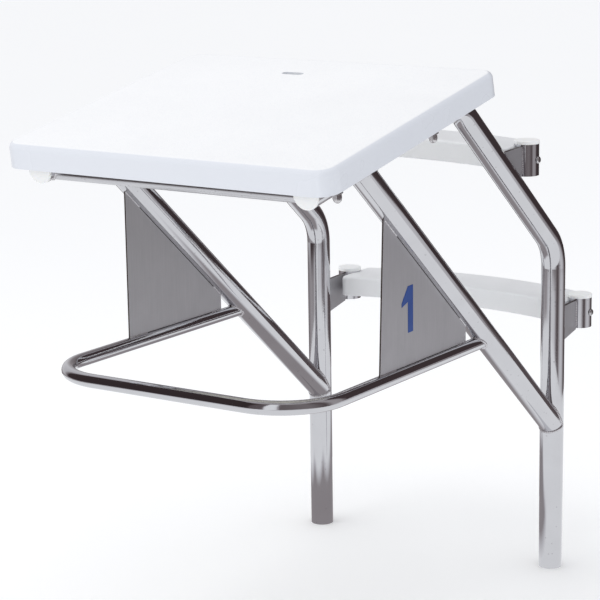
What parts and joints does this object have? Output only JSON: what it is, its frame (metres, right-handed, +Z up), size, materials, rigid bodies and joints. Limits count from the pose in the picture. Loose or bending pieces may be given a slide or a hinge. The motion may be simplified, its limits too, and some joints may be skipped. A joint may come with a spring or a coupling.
{
  "type": "swimming starting block",
  "caption": "Dual-post starting block: tilted white platform on a bent tube frame with a backstroke grip bar, lane plates and rear steps.",
  "frame": {"origin": "midway between the lower ends of the two posts, on the plane of their ends", "axes": "+Z up along the posts, -Y towards the pool, +X towards the side that carries the lane number"},
  "size_m": [0.684, 1.1777, 1.0715],
  "materials": {
    "polished_tube": "mechanically polished stainless steel tube",
    "brushed_plate": "brushed stainless steel plate, matte",
    "fasteners": "bright stainless fasteners",
    "white_gelcoat": "white gelcoat with a fine anti-slip sand texture",
    "white_moulding": "white moulded plastic, satin",
    "white_plug": "white polyethylene, satin",
    "core_board": "foam-cored laminate board, matte",
    "rubber_pad": "neoprene, matte",
    "brass_insert": "plain brass",
    "blue_vinyl": "blue vinyl"
  },
  "bodies": {
    "root": {"backstroke_grip_bar": "polished_tube", "brace_left": "polished_tube", "brace_right": "polished_tube", "fin_plate_left": "brushed_plate", "fin_plate_right": "brushed_plate", "front_cross_tube": "polished_tube", "front_plug_left": "white_plug", "front_plug_right": "white_plug", "lane_number": "blue_vinyl", "lower_step": "white_moulding", "lower_step_bracket_left": "brushed_plate", "lower_step_bracket_right": "brushed_plate", "lower_step_cap_left": "white_plug", "lower_step_cap_right": "white_plug", "lower_step_stub_left": "polished_tube", "lower_step_stub_right": "polished_tube", "platform_acorn_nuts": "fasteners", "platform_bolts": "fasteners", "platform_core": "core_board", "platform_shell": "white_gelcoat", "platform_washers": "fasteners", "rear_cross_tube": "polished_tube", "saddle_pad_left": "rubber_pad", "saddle_pad_right": "rubber_pad", "side_frame_left": "polished_tube", "side_frame_right": "polished_tube", "step_bolts": "fasteners", "step_inserts": "brass_insert", "upper_step": "white_moulding", "upper_step_bracket_left": "brushed_plate", "upper_step_bracket_right": "brushed_plate", "upper_step_cap_left": "white_plug", "upper_step_cap_right": "white_plug", "upper_step_stub_left": "polished_tube", "upper_step_stub_right": "polished_tube"}
  },
  "joints": []
}
